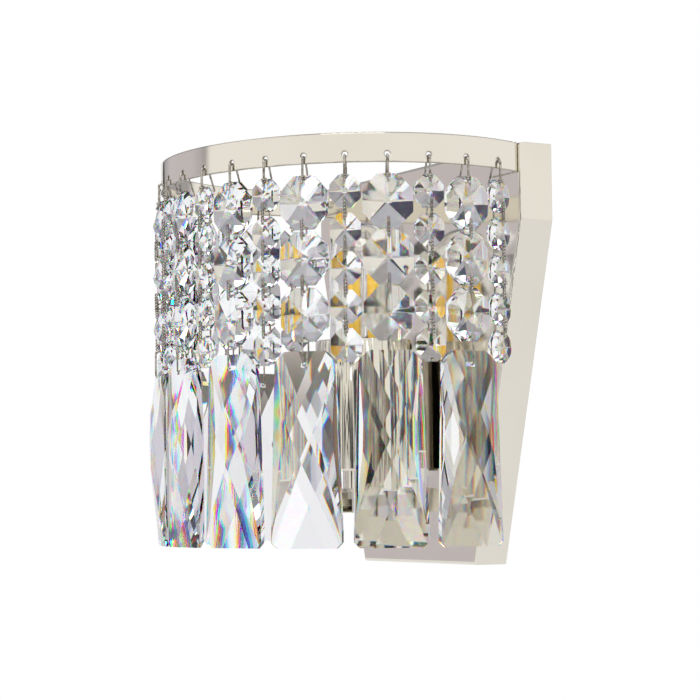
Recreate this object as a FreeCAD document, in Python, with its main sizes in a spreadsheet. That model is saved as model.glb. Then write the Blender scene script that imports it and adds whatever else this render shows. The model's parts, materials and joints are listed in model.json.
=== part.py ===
import FreeCAD, Part
import math
import os

import Sketcher
from FreeCAD import Placement, Rotation, Vector

# Crystal wall sconce, in millimetres. X runs to the right of someone who faces the wall, Y runs
# into the wall and Z runs up. The origin is on the wall, at the middle of the outlet box screws.

SIZES = (
    # backplate cover: a shallow pan of sheet, straight above its shoulders and tapered below
    ("plate_height", 184.0),
    ("plate_top_width", 178.0),
    ("plate_foot_width", 97.4),
    ("plate_shoulder_drop", 33.4),
    ("plate_depth", 16.5),
    ("plate_edge_radius", 1.6),
    ("sheet_thickness", 1.2),
    ("wire_hole_radius", 4.0),
    # crossbar that fastens to the outlet box, and the screws that hold the cover to it
    ("bar_length", 112.0),
    ("bar_height", 22.0),
    ("bar_thickness", 2.0),
    ("bar_hole_radius", 5.2),
    ("box_screw_spacing", 88.9),
    ("box_slot_length", 16.0),
    ("box_slot_radius", 2.4),
    ("cover_screw_spacing", 60.0),
    ("cover_screw_radius", 2.0),
    ("cover_head_radius", 4.0),
    ("cover_head_height", 2.6),
    ("screw_end_stand_off", 0.6),
    ("close_fit", 0.06),
    ("free_fit", 0.1),
    # band: a strip bent to an arch of three arcs in plan, with a tab turned in at each end
    ("strip_height", 12.7),
    ("strip_thickness", 1.0),
    ("band_overhang", 5.7),
    ("band_half_depth", 85.7),
    ("band_centre_out", 33.5),
    ("band_top_drop", 0.3),
    ("band_meeting_angle", 45.0),
    ("bend_radius", 1.8),
    ("tab_length", 19.0),
    ("rivet_inset", 17.0),
    ("rivet_radius", 1.6),
    ("rivet_head_radius", 3.2),
    ("rivet_head_height", 1.2),
    # strands of crystal: hook holes in the band, wire, octagons and pendants
    ("strand_count", 19.0),
    ("strand_clearance", 0.57),
    ("hook_hole_rise", 3.5),
    ("hook_hole_radius", 1.1),
    ("wire_size", 0.8),
    ("wire_seat_gap", 0.3),
    ("hook_reach", 1.7),
    ("hook_spread", 5.4),
    ("hook_drop", 9.7),
    ("bead_hole_radius", 0.65),
    ("small_count", 5.0),
    ("small_width", 13.2),
    ("small_height", 14.0),
    ("small_thickness", 6.4),
    ("small_rim", 1.6),
    ("small_hole_inset", 1.5),
    ("small_tail_below", 4.8),
    ("large_count", 3.0),
    ("large_width", 21.4),
    ("large_height", 22.8),
    ("large_thickness", 9.2),
    ("large_rim", 2.0),
    ("large_hole_inset", 1.7),
    ("large_link", 4.3),
    ("link_half_width", 2.5),
    ("pendant_link", 11.6),
    ("pendant_link_half_width", 3.6),
    ("pendant_height", 82.3),
    ("pendant_top_width", 27.0),
    ("pendant_foot_width", 31.6),
    ("pendant_thickness", 12.4),
    ("pendant_head_thickness", 4.0),
    ("pendant_rim", 2.4),
    ("pendant_lozenge_slope", 2.3),
    ("pendant_bevel_slope", 0.65),
    ("pendant_front_upper", 23.0),
    ("pendant_front_lower", 47.0),
    ("pendant_back_upper", 8.2),
    ("pendant_back_upper_thickness", 3.5),
    ("pendant_back_crest", 37.2),
    ("pendant_back_lower", 65.2),
    ("pendant_back_lower_thickness", 3.9),
    ("pendant_hole_inset", 5.9),
    ("pendant_hole_radius", 0.95),
    ("pendant_top_cut", 4.5),
    ("pendant_foot_cut", 2.4),
    # arm under the lamp, cup round the lampholder, and the nipple that joins them
    ("lamp_axis_out", 27.5),
    ("arm_top_drop", 149.4),
    ("arm_width", 20.0),
    ("arm_height", 11.0),
    ("arm_sheet", 1.6),
    ("arm_overhang", 12.0),
    ("cup_radius", 22.2),
    ("cup_wall", 1.0),
    ("cup_height", 59.6),
    ("cup_foot_chamfer", 0.8),
    ("neck_radius", 10.3),
    ("neck_height", 8.0),
    ("nipple_radius", 4.9),
    ("nipple_bore_radius", 3.5),
    ("nipple_tail", 8.0),
    ("nut_across_flats", 14.0),
    ("nut_height", 3.2),
    # lampholder and its lamp
    ("holder_radius", 18.0),
    ("holder_height", 45.0),
    ("holder_floor", 12.0),
    ("holder_thread_depth", 5.0),
    ("lamp_fit", 0.4),
    ("lamp_base_radius", 13.0),
    ("lamp_base_height", 26.0),
    ("lamp_contact_radius", 4.5),
    ("lamp_contact_height", 3.0),
    ("lamp_radius", 15.5),
    ("lamp_neck_radius", 11.6),
    ("lamp_neck_height", 13.0),
    ("lamp_height", 72.0),
    ("lamp_glass", 0.8),
    ("filament_count", 4.0),
    ("filament_width", 1.8),
    ("filament_ring_radius", 6.5),
    ("filament_length", 34.0),
    ("filament_rise", 16.5),
    ("filament_turn", 27.0),
    ("stem_radius", 2.2),
    ("stem_flare_radius", 8.5),
    ("stem_flare_height", 12.4),
    ("spider_wire", 0.7),
)


class Size:
    """A sheet value, or arithmetic on such values, with the expression that repeats it."""

    def __init__(self, value, text):
        self.value = float(value)
        self.text = text

    def __float__(self):
        return self.value

    def __neg__(self):
        return Size(-self.value, "-(%s)" % self.text)

    def __add__(self, other):
        return combine(self, other, "+", self.value + float(other))

    def __radd__(self, other):
        return combine(other, self, "+", float(other) + self.value)

    def __sub__(self, other):
        return combine(self, other, "-", self.value - float(other))

    def __rsub__(self, other):
        return combine(other, self, "-", float(other) - self.value)

    def __mul__(self, other):
        return combine(self, other, "*", self.value * float(other))

    def __rmul__(self, other):
        return combine(other, self, "*", float(other) * self.value)

    def __truediv__(self, other):
        return combine(self, other, "/", self.value / float(other))


def combine(left, right, sign, value):
    """Join two sizes or numbers with a sign, as a value and as an expression."""
    texts = [side.text if isinstance(side, Size) else repr(float(side)) for side in (left, right)]
    return Size(value, "(%s %s %s)" % (texts[0], sign, texts[1]))


class Sizes:
    """The spreadsheet of driving dimensions, each one read by its name."""

    def __init__(self, document):
        self.sheet = document.addObject("Spreadsheet::Sheet", "Sizes")
        for row, (name, value) in enumerate(SIZES, start=1):
            self.sheet.set("A%d" % row, name)
            self.sheet.set("B%d" % row, str(value))
            self.sheet.setAlias("B%d" % row, name)
        document.recompute()

    def __getattr__(self, name):
        return Size(getattr(self.sheet, name), "Sizes." + name)


doc = FreeCAD.newDocument("CrystalWallSconce")
size = Sizes(doc)

# ---------------------------------------------------------------------------------------------
# Places that several pieces share
# ---------------------------------------------------------------------------------------------
plate_top = size.plate_height / 2
plate_foot = -plate_top
plate_front = size.plate_depth
plate_inside = size.plate_depth - size.sheet_thickness
band_top = plate_top - size.band_top_drop
band_foot = band_top - size.strip_height
hook_hole_height = band_foot + size.hook_hole_rise
tab_front = plate_front + size.strip_thickness
band_half_width = size.plate_top_width / 2 + size.band_overhang
lamp_axis = plate_front + size.lamp_axis_out
arm_top = plate_top - size.arm_top_drop
cup_floor = arm_top + size.neck_height
holder_foot = cup_floor + size.cup_wall
holder_top = holder_foot + size.holder_height
lamp_foot = holder_foot + size.holder_floor + size.lamp_fit
lamp_base_foot = lamp_foot + size.lamp_contact_height
lamp_base_top = lamp_base_foot + size.lamp_base_height
strand_pitch = (size.small_width + size.large_width) / 2 + size.strand_clearance
sub_parts = []


# ---------------------------------------------------------------------------------------------
# Helpers for sketched bodies
# ---------------------------------------------------------------------------------------------
class SketchedBody:
    """A body built from sketches on its own origin planes."""

    def __init__(self, label):
        self.body = doc.addObject("PartDesign::Body", label)
        self.body.Label = label
        sub_parts.append(self.body)

    def sketch(self, name, role, offset=None):
        """Attach an empty sketch to an origin plane, moved out along its normal by offset."""
        sketch = self.body.newObject("Sketcher::SketchObject", name)
        plane = [item for item in self.body.Origin.OriginFeatures if item.Role == role][0]
        sketch.AttachmentSupport = [(plane, "")]
        sketch.MapMode = "FlatFace"
        if offset is not None:
            sketch.setExpression(".AttachmentOffset.Base.z", offset.text)
        return sketch

    def feature(self, kind, name, sketch, **settings):
        """Add a sketch-based feature; a Size setting is bound, any other is set."""
        feature = self.body.newObject("PartDesign::" + kind, name)
        feature.Profile = sketch
        apply_settings(feature, settings)
        sketch.Visibility = False
        doc.recompute()
        return feature

    def revolve(self, name, profile):
        """Revolve a closed profile of (radius, height) points about the vertical axis."""
        sketch = self.sketch(name + "Profile", "XZ_Plane")
        polygon(sketch, profile)
        return self.feature("Revolution", name, sketch, ReferenceAxis=(sketch, ["V_Axis"]), Angle=360.0)

    def place_on_lamp_axis(self):
        """Move the body out from the wall to the lamp's vertical axis."""
        self.body.setExpression(".Placement.Base.y", (-lamp_axis).text)
        doc.recompute()


def apply_settings(feature, settings):
    """Set or bind properties of a feature."""
    for key, value in settings.items():
        if isinstance(value, Size):
            setattr(feature, key, value.value)
            feature.setExpression(key, value.text)
        else:
            setattr(feature, key, value)


def pin_point(sketch, geometry, vertex, across, up):
    """Hold a sketch vertex at (across, up) from the sketch's origin."""
    for kind, axis, place in (("DistanceX", -2, across), ("DistanceY", -1, up)):
        if abs(float(place)) < 1e-9:
            sketch.addConstraint(Sketcher.Constraint("PointOnObject", geometry, vertex, axis))
            continue
        index = sketch.addConstraint(Sketcher.Constraint(kind, -1, 1, geometry, vertex, float(place)))
        if isinstance(place, Size):
            sketch.setExpression("Constraints[%d]" % index, place.text)


def polygon(sketch, points):
    """Draw a closed outline of straight lines through points given as sizes."""
    corners = [Vector(float(across), float(up), 0) for across, up in points]
    lines = []
    for start, end in zip(corners, corners[1:] + corners[:1]):
        lines.append(sketch.addGeometry(Part.LineSegment(start, end), False))
    for line, following in zip(lines, lines[1:] + lines[:1]):
        sketch.addConstraint(Sketcher.Constraint("Coincident", line, 2, following, 1))
    for line, (across, up) in zip(lines, points):
        pin_point(sketch, line, 1, across, up)


def circle(sketch, across, up, radius):
    """Draw a circle of a bound radius round a bound centre."""
    centre = Vector(float(across), float(up), 0)
    ring = sketch.addGeometry(Part.Circle(centre, Vector(0, 0, 1), float(radius)), False)
    pin_point(sketch, ring, 3, across, up)
    index = sketch.addConstraint(Sketcher.Constraint("Radius", ring, float(radius)))
    sketch.setExpression("Constraints[%d]" % index, radius.text)


def slot(sketch, across, up, length, radius):
    """Draw a level slot with round ends, its centre at (across, up)."""
    reach = length / 2 - radius
    left = Vector(float(across - reach), float(up), 0)
    right = Vector(float(across + reach), float(up), 0)
    rise = Vector(0, float(radius), 0)
    normal = Vector(0, 0, 1)
    quarter = math.pi / 2
    right_arc = Part.ArcOfCircle(Part.Circle(right, normal, float(radius)), -quarter, quarter)
    left_arc = Part.ArcOfCircle(Part.Circle(left, normal, float(radius)), quarter, 3 * quarter)
    ends = [sketch.addGeometry(right_arc, False), sketch.addGeometry(left_arc, False)]
    top = sketch.addGeometry(Part.LineSegment(right + rise, left + rise), False)
    foot = sketch.addGeometry(Part.LineSegment(left - rise, right - rise), False)
    joints = ((ends[0], 2, top, 1), (top, 2, ends[1], 1), (ends[1], 2, foot, 1), (foot, 2, ends[0], 1))
    for joint in joints:
        sketch.addConstraint(Sketcher.Constraint("Tangent", *joint))
    pin_point(sketch, ends[0], 3, across + reach, up)
    pin_point(sketch, ends[1], 3, across - reach, up)
    index = sketch.addConstraint(Sketcher.Constraint("Radius", ends[0], float(radius)))
    sketch.setExpression("Constraints[%d]" % index, radius.text)


def faces_at(shape, axis, place):
    """Name the flat faces whose middle lies at a place along an axis."""
    names = []
    for index, face in enumerate(shape.Faces, start=1):
        flat = isinstance(face.Surface, Part.Plane)
        if flat and abs(getattr(face.CenterOfMass, axis) - place) < 1e-4:
            if abs(getattr(face.normalAt(0, 0), axis)) > 0.99:
                names.append("Face%d" % index)
    return names


def group(label, pieces):
    """Join loose primitives under one label, as separate solids."""
    compound = doc.addObject("Part::Compound", label)
    compound.Links = pieces
    compound.Label = label
    sub_parts.append(compound)
    doc.recompute()
    return compound


def cylinder(name, radius, height, across, out, up, direction):
    """Add a bound cylinder whose base stands out from the wall, along a direction.

    A place that isn't a Size is zero and stays at the origin.
    """
    item = doc.addObject("Part::Cylinder", name)
    apply_settings(item, {"Radius": radius, "Height": height})
    item.Placement = Placement(Vector(), Rotation(Vector(0, 0, 1), direction))
    for axis, place in (("x", across), ("y", -out), ("z", up)):
        if isinstance(place, Size):
            item.setExpression(".Placement.Base." + axis, place.text)
    return item


def fuse(name, pieces):
    """Fuse primitives into one solid."""
    item = doc.addObject("Part::MultiFuse", name)
    item.Shapes = pieces
    doc.recompute()
    return item


def shaped(label, shape):
    """Keep a computed shape as a sub-part of its own."""
    item = doc.addObject("Part::Feature", label)
    item.Label = label
    item.Shape = shape
    sub_parts.append(item)
    return item


INTO_WALL = Vector(0, 1, 0)
OUT_OF_WALL = Vector(0, -1, 0)
SIDES = (("Right", 1.0), ("Left", -1.0))
HOOK_HOLE_SIDES = 6
# The lamp's dome is two cones, which meet halfway round the quarter circle that they stand for
DOME_SHARE = math.cos(math.pi / 4)


# ---------------------------------------------------------------------------------------------
# Backplate cover: the outline is padded out from the wall, shelled from behind and rounded in front
# ---------------------------------------------------------------------------------------------
cover = SketchedBody("backplate_cover")
outline = cover.sketch("CoverOutline", "XZ_Plane")
top_half = size.plate_top_width / 2
foot_half = size.plate_foot_width / 2
shoulder = plate_top - size.plate_shoulder_drop
polygon(outline, (
    (top_half, plate_top), (-top_half, plate_top), (-top_half, shoulder),
    (-foot_half, plate_foot), (foot_half, plate_foot), (top_half, shoulder),
))
pan = cover.feature("Pad", "CoverPan", outline, Length=size.plate_depth)
shell = cover.body.newObject("PartDesign::Thickness", "CoverShell")
shell.Base = (pan, faces_at(pan.Shape, "y", 0.0))
apply_settings(shell, {"Value": size.sheet_thickness, "Reversed": True, "Mode": 0, "Join": 0})
doc.recompute()
rounded = cover.body.newObject("PartDesign::Fillet", "CoverEdge")
rounded.Base = (shell, faces_at(shell.Shape, "y", -float(plate_front)))
apply_settings(rounded, {"Radius": size.plate_edge_radius})
doc.recompute()
openings = cover.sketch("CoverHoles", "XZ_Plane")
screw_clear = size.cover_screw_radius + size.free_fit
rivet_across = band_half_width - size.rivet_inset
rivet_up = band_foot + size.strip_height / 2
for _, side in SIDES:
    circle(openings, side * size.cover_screw_spacing / 2, 0.0, screw_clear)
    circle(openings, side * rivet_across, rivet_up, size.rivet_radius + size.close_fit)
circle(openings, 0.0, arm_top - size.arm_sheet - size.wire_hole_radius, size.wire_hole_radius)
cover.feature("Pocket", "CoverHolesCut", openings, Type=1, Midplane=True)

# ---------------------------------------------------------------------------------------------
# Crossbar: a flat bar with slots for the box screws, tapped for the cover's screws
# ---------------------------------------------------------------------------------------------
crossbar = SketchedBody("wall_crossbar")
bar_outline = crossbar.sketch("BarOutline", "XZ_Plane")
bar_half = size.bar_length / 2
bar_rise = size.bar_height / 2
polygon(bar_outline, (
    (bar_half, bar_rise), (-bar_half, bar_rise), (-bar_half, -bar_rise), (bar_half, -bar_rise),
))
crossbar.feature("Pad", "Bar", bar_outline, Length=size.bar_thickness)
bar_openings = crossbar.sketch("BarHoles", "XZ_Plane")
circle(bar_openings, 0.0, 0.0, size.bar_hole_radius)
for _, side in SIDES:
    circle(bar_openings, side * size.cover_screw_spacing / 2, 0.0, size.cover_screw_radius + size.close_fit)
    slot(bar_openings, side * size.box_screw_spacing / 2, 0.0, size.box_slot_length, size.box_slot_radius)
crossbar.feature("Pocket", "BarHolesCut", bar_openings, Type=1, Midplane=True)

# ---------------------------------------------------------------------------------------------
# Cover screws: a low head on the cover's face and a shank through to the crossbar
# ---------------------------------------------------------------------------------------------
cover_screws = []
for side_name, side in SIDES:
    across = side * size.cover_screw_spacing / 2
    shank_length = plate_front - size.screw_end_stand_off
    pieces = [
        cylinder("CoverHead" + side_name, size.cover_head_radius, size.cover_head_height, across,
                 plate_front, 0.0, OUT_OF_WALL),
        cylinder("CoverShank" + side_name, size.cover_screw_radius, shank_length, across,
                 plate_front, 0.0, INTO_WALL),
    ]
    cover_screws.append(fuse("CoverScrew" + side_name, pieces))
group("cover_screws", cover_screws)


# ---------------------------------------------------------------------------------------------
# Band: an arch of three arcs in plan, with a bend and a tab at each end
# ---------------------------------------------------------------------------------------------
class BandArch:
    """The band in plan: angles run from the right-hand side round through the front.

    The front arc and the two side arcs share a tangent where they meet, and each side arc runs on
    behind the widest point to a tight bend, from which the tab lies against the cover.
    """

    def __init__(self):
        self.half_strip = float(size.strip_thickness) / 2
        half_width = float(band_half_width) - self.half_strip
        half_depth = float(size.band_half_depth) - self.half_strip
        self.centre_y = -float(plate_front + size.band_centre_out)
        self.meet = math.radians(float(size.band_meeting_angle))
        sine, cosine = math.sin(self.meet), math.cos(self.meet)
        difference = (half_width - half_depth) / (sine + cosine - 1)
        self.side_across = difference * cosine
        self.side_radius = half_width - self.side_across
        self.front_out = -difference * sine
        self.front_radius = half_depth - self.front_out
        self.bend = float(size.bend_radius) - self.half_strip
        tab_out = -float(size.band_centre_out) + self.half_strip
        self.turn_in = math.asin((tab_out + self.bend) / (self.side_radius - self.bend))

    def spot(self, across, out, radius, angle):
        """Give the plan point at an angle on a circle round a centre."""
        return Vector(across + radius * math.cos(angle), self.centre_y - out - radius * math.sin(angle), 0)

    def right_half(self, offset):
        """List the arcs' ends and middles on the right, from the front's middle to the tab's tip.

        The run is offset from the strip's middle line, outwards where the offset is positive.
        """
        front = (0.0, self.front_out, self.front_radius + offset)
        side = (self.side_across, 0.0, self.side_radius + offset)
        reach = self.side_radius - self.bend
        bend = (
            self.side_across + reach * math.cos(self.turn_in), reach * math.sin(self.turn_in),
            self.bend + offset,
        )
        quarter = math.pi / 2
        turn_in = self.turn_in
        turns = ((front, quarter, self.meet), (side, self.meet, turn_in), (bend, turn_in, -quarter))
        arcs = []
        for circle_of, start, end in turns:
            arcs.append([self.spot(*circle_of, angle) for angle in (start, (start + end) / 2, end)])
        return arcs

    def outline(self, offset):
        """Make one side of the strip's outline, from the left tab's tip to the right tab's tip."""
        right = self.right_half(offset)
        left = [[Vector(-spot.x, spot.y, 0) for spot in reversed(arc)] for arc in reversed(right)]
        edges = [Part.Arc(*arc).toShape() for arc in left + right]
        tab = Vector(float(size.tab_length), 0, 0)
        tips = [left[0][0] + tab, right[-1][-1] - tab]
        edges.insert(0, Part.LineSegment(tips[0], left[0][0]).toShape())
        edges.append(Part.LineSegment(right[-1][-1], tips[1]).toShape())
        return edges, tips

    def strip(self):
        """Extrude the strip between its outer and inner outlines."""
        outer, outer_tips = self.outline(self.half_strip)
        inner, inner_tips = self.outline(-self.half_strip)
        ends = [Part.LineSegment(*tips).toShape() for tips in zip(outer_tips, inner_tips)]
        outline = Part.Wire(Part.__sortEdges__(outer + inner + ends))
        return Part.Face(outline).extrude(Vector(0, 0, float(size.strip_height)))

    def hook_places(self):
        """Give the plan point and the turn about Z of each strand, from left to right."""
        count = int(float(size.strand_count))
        pitch = float(strand_pitch)
        quarter = math.pi / 2
        front_run = self.front_radius * (quarter - self.meet)
        places = []
        for index in range(count):
            run = (index - (count - 1) / 2) * pitch
            if abs(run) <= front_run:
                angle = quarter - abs(run) / self.front_radius
                spot = self.spot(0.0, self.front_out, self.front_radius, angle)
            else:
                angle = self.meet - (abs(run) - front_run) / self.side_radius
                spot = self.spot(self.side_across, 0.0, self.side_radius, angle)
            side = math.copysign(1.0, run)
            places.append((Vector(side * spot.x, spot.y, 0), side * math.degrees(quarter - angle)))
        return places


def hook_hole(spot, turn):
    """Make the cutter of one hook hole along the band's normal, many-sided to keep the faces few."""
    reach = 2 * float(size.strip_thickness)
    half_turn = math.pi / HOOK_HOLE_SIDES
    across = float(size.hook_hole_radius) / math.cos(half_turn)
    corners = []
    for index in range(HOOK_HOLE_SIDES):
        angle = 2 * index * half_turn
        corners.append(Vector(across * math.cos(angle), -reach, across * math.sin(angle)))
    cutter = Part.Face(Part.makePolygon(corners + corners[:1])).extrude(Vector(0, 2 * reach, 0))
    place = spot + Vector(0, 0, float(hook_hole_height))
    cutter.Placement = Placement(place, Rotation(Vector(0, 0, 1), turn))
    return cutter


arch = BandArch()
hooks = arch.hook_places()
strip = arch.strip()
strip.translate(Vector(0, 0, float(band_foot)))
cutters = [hook_hole(spot, turn) for spot, turn in hooks]
rivet_bore = float(size.rivet_radius + size.close_fit)
for _, side in SIDES:
    rivet_spot = Vector(side * float(rivet_across), -2 * float(tab_front), float(rivet_up))
    cutters.append(Part.makeCylinder(rivet_bore, 2 * float(tab_front), rivet_spot, INTO_WALL))
shaped("crystal_band", strip.cut(cutters))

# Rivets: a low head on the tab and a shank through tab and cover, set flush behind the sheet
rivets = []
for side_name, side in SIDES:
    across = side * rivet_across
    pieces = [
        cylinder("RivetHead" + side_name, size.rivet_head_radius, size.rivet_head_height, across, tab_front,
                 rivet_up, OUT_OF_WALL),
        cylinder("RivetShank" + side_name, size.rivet_radius, tab_front - plate_inside, across, tab_front,
                 rivet_up, INTO_WALL),
    ]
    rivets.append(fuse("BandRivet" + side_name, pieces))
group("band_rivets", rivets)

# ---------------------------------------------------------------------------------------------
# Lamp arm: a channel, open below, that stands out from the cover under the lamp
# ---------------------------------------------------------------------------------------------
arm = SketchedBody("lamp_arm")
section = arm.sketch("ArmSection", "XZ_Plane", plate_front)
arm_half = size.arm_width / 2
arm_inner = arm_half - size.arm_sheet
arm_foot = arm_top - size.arm_height
polygon(section, (
    (arm_half, arm_top), (-arm_half, arm_top), (-arm_half, arm_foot), (-arm_inner, arm_foot),
    (-arm_inner, arm_top - size.arm_sheet), (arm_inner, arm_top - size.arm_sheet),
    (arm_inner, arm_foot), (arm_half, arm_foot),
))
arm.feature("Pad", "ArmChannel", section, Length=size.lamp_axis_out + size.arm_overhang)
nipple_hole = arm.sketch("ArmHole", "XY_Plane", arm_top)
circle(nipple_hole, 0.0, -lamp_axis, size.nipple_radius + size.free_fit)
arm.feature("Pocket", "ArmHoleCut", nipple_hole, Length=2 * size.arm_sheet)

# ---------------------------------------------------------------------------------------------
# Socket cup: a spun cup with a narrow neck that stands on the arm
# ---------------------------------------------------------------------------------------------
cup = SketchedBody("socket_cup")
cup_bore = size.nipple_radius + size.free_fit
cup_rim = cup_floor + size.cup_height
cup_solid = cup.revolve("Cup", (
    (cup_bore, arm_top), (size.neck_radius, arm_top), (size.neck_radius, cup_floor),
    (size.cup_radius, cup_floor), (size.cup_radius, cup_rim), (size.cup_radius - size.cup_wall, cup_rim),
    (size.cup_radius - size.cup_wall, cup_floor + size.cup_wall), (cup_bore, cup_floor + size.cup_wall),
))
cup_foot = cup.body.newObject("PartDesign::Chamfer", "CupFoot")
foot_edges = []
for index, edge in enumerate(cup_solid.Shape.Edges, start=1):
    box = edge.BoundBox
    wide = abs(box.XMax - float(size.cup_radius)) < 1e-3
    if wide and abs(box.ZMax - float(cup_floor)) < 1e-3 and abs(box.ZMin - float(cup_floor)) < 1e-3:
        foot_edges.append("Edge%d" % index)
cup_foot.Base = (cup_solid, foot_edges)
apply_settings(cup_foot, {"Size": size.cup_foot_chamfer})
doc.recompute()
cup.place_on_lamp_axis()

# Nipple: the threaded tube that clamps holder, cup and arm together, with its nut below
nipple = SketchedBody("cup_nipple")
nipple_foot = arm_top - size.nipple_tail
nipple_top = holder_foot + size.holder_thread_depth
nipple.revolve("Nipple", (
    (size.nipple_bore_radius, nipple_foot), (size.nipple_radius, nipple_foot),
    (size.nipple_radius, nipple_top), (size.nipple_bore_radius, nipple_top),
))
nipple.place_on_lamp_axis()

nut = SketchedBody("nipple_nut")
nut_top = arm_top - size.arm_sheet
hexagon = nut.sketch("NutHexagon", "XY_Plane", nut_top - size.nut_height)
nut_corner = size.nut_across_flats / math.sqrt(3.0)
nut_flat = size.nut_across_flats / 2
polygon(hexagon, (
    (nut_corner, 0.0), (nut_corner / 2, nut_flat), (-nut_corner / 2, nut_flat),
    (-nut_corner, 0.0), (-nut_corner / 2, -nut_flat), (nut_corner / 2, -nut_flat),
))
circle(hexagon, 0.0, 0.0, size.nipple_radius + size.close_fit)
nut.feature("Pad", "Nut", hexagon, Length=size.nut_height)
nut.place_on_lamp_axis()

# ---------------------------------------------------------------------------------------------
# Lampholder: a porcelain body with a bore for the lamp's base and a threaded foot
# ---------------------------------------------------------------------------------------------
holder = SketchedBody("lampholder")
thread_radius = size.nipple_radius + size.close_fit
holder_bore = size.lamp_base_radius + size.lamp_fit
holder.revolve("Holder", (
    (0.0, holder_foot + size.holder_thread_depth), (thread_radius, holder_foot + size.holder_thread_depth),
    (thread_radius, holder_foot), (size.holder_radius, holder_foot), (size.holder_radius, holder_top),
    (holder_bore, holder_top), (holder_bore, lamp_base_foot - size.lamp_fit),
    (size.lamp_contact_radius + 2 * size.lamp_fit, holder_foot + size.holder_floor),
    (0.0, holder_foot + size.holder_floor),
))
holder.place_on_lamp_axis()

# ---------------------------------------------------------------------------------------------
# Lamp: screw base, clear tubular envelope, and the stem that carries the filaments
# ---------------------------------------------------------------------------------------------
base = SketchedBody("lamp_base")
base.revolve("Base", (
    (0.0, lamp_foot), (size.lamp_contact_radius, lamp_foot), (size.lamp_base_radius, lamp_base_foot),
    (size.lamp_base_radius, lamp_base_top), (0.0, lamp_base_top),
))
base.place_on_lamp_axis()

envelope = SketchedBody("lamp_envelope")
envelope_top = lamp_base_top + size.lamp_height
shoulder_top = lamp_base_top + size.lamp_neck_height
dome_start = envelope_top - size.lamp_radius
inner_neck = size.lamp_neck_radius - size.lamp_glass
inner_radius = size.lamp_radius - size.lamp_glass
outer_share = size.lamp_radius * DOME_SHARE
inner_share = inner_radius * DOME_SHARE
envelope.revolve("Envelope", (
    (inner_neck, lamp_base_top), (size.lamp_neck_radius, lamp_base_top),
    (size.lamp_radius, shoulder_top), (size.lamp_radius, dome_start),
    (outer_share, dome_start + outer_share), (0.0, envelope_top),
    (0.0, envelope_top - size.lamp_glass), (inner_share, dome_start + inner_share),
    (inner_radius, dome_start), (inner_radius, shoulder_top),
))
envelope.place_on_lamp_axis()


def filament_stem():
    """Make the flared glass stem, two wire spiders and the upright filaments on them."""
    foot = float(lamp_base_top)
    ring = float(size.filament_ring_radius)
    rise = foot + float(size.filament_rise)
    length = float(size.filament_length)
    wire = float(size.spider_wire)
    stem_top = rise + length + 2 * wire
    profile = Part.makePolygon([
        Vector(0, 0, foot), Vector(float(size.stem_flare_radius), 0, foot),
        Vector(float(size.stem_radius), 0, foot + float(size.stem_flare_height)),
        Vector(float(size.stem_radius), 0, stem_top), Vector(0, 0, stem_top), Vector(0, 0, foot),
    ])
    pieces = [Part.Face(profile).revolve(Vector(), Vector(0, 0, 1), 360)]
    count = int(float(size.filament_count))
    for index in range(count):
        turn = float(size.filament_turn) + 360.0 * index / count
        for level in (rise - wire, rise + length):
            arm_wire = Part.makeBox(ring + wire, wire, wire, Vector(0, -wire / 2, level))
            arm_wire.rotate(Vector(), Vector(0, 0, 1), turn)
            pieces.append(arm_wire)
        strip_width = float(size.filament_width)
        corner = Vector(ring - strip_width / 2, -strip_width / 2, rise - wire / 2)
        filament = Part.makeBox(strip_width, strip_width, length + wire, corner)
        filament.rotate(Vector(), Vector(0, 0, 1), turn)
        pieces.append(filament)
    whole = pieces[0].fuse(pieces[1:]).removeSplitter()
    whole.translate(Vector(0, -float(lamp_axis), 0))
    return whole


shaped("lamp_filaments", filament_stem())


# ---------------------------------------------------------------------------------------------
# Crystals and wire, each made in a strand's own frame: X along the band, -Y outwards, Z up,
# with the origin at the hook's pivot in the band's hole
# ---------------------------------------------------------------------------------------------
def octagon(width, height, out):
    """Make an upright octagon outline, as wide and high as given, at a depth."""
    share = math.tan(math.radians(22.5))
    corners = []
    for across, up in ((share, 1), (1, share), (1, -share), (share, -1)):
        corners.append(Vector(across * width / 2, out, up * height / 2))
    corners += [Vector(-corner.x, out, corner.z) for corner in reversed(corners)]
    return Part.makePolygon(corners + corners[:1])


def needle_hole(radius, depth, level):
    """Make the square cutter of a hole through a crystal, level along Y."""
    side = 2 * radius
    return Part.makeBox(side, 2 * depth, side, Vector(-radius, -depth, level - radius))


def octagon_bead(width, height, thickness, rim, hole_level):
    """Grind an octagon: a flat rim and eight facets that meet in a point on each side."""
    rim_out = rim / 2
    solid = Part.Face(octagon(width, height, -rim_out)).extrude(Vector(0, rim, 0))
    for side in (-1, 1):
        point = Part.Vertex(Vector(0, side * thickness / 2, 0))
        solid = solid.fuse(Part.makeLoft([octagon(width, height, side * rim_out), point], True, True))
    bore = float(size.bead_hole_radius)
    holes = [needle_hole(bore, thickness, level) for level in (hole_level, -hole_level)]
    return solid.removeSplitter().cut(holes)


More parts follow.
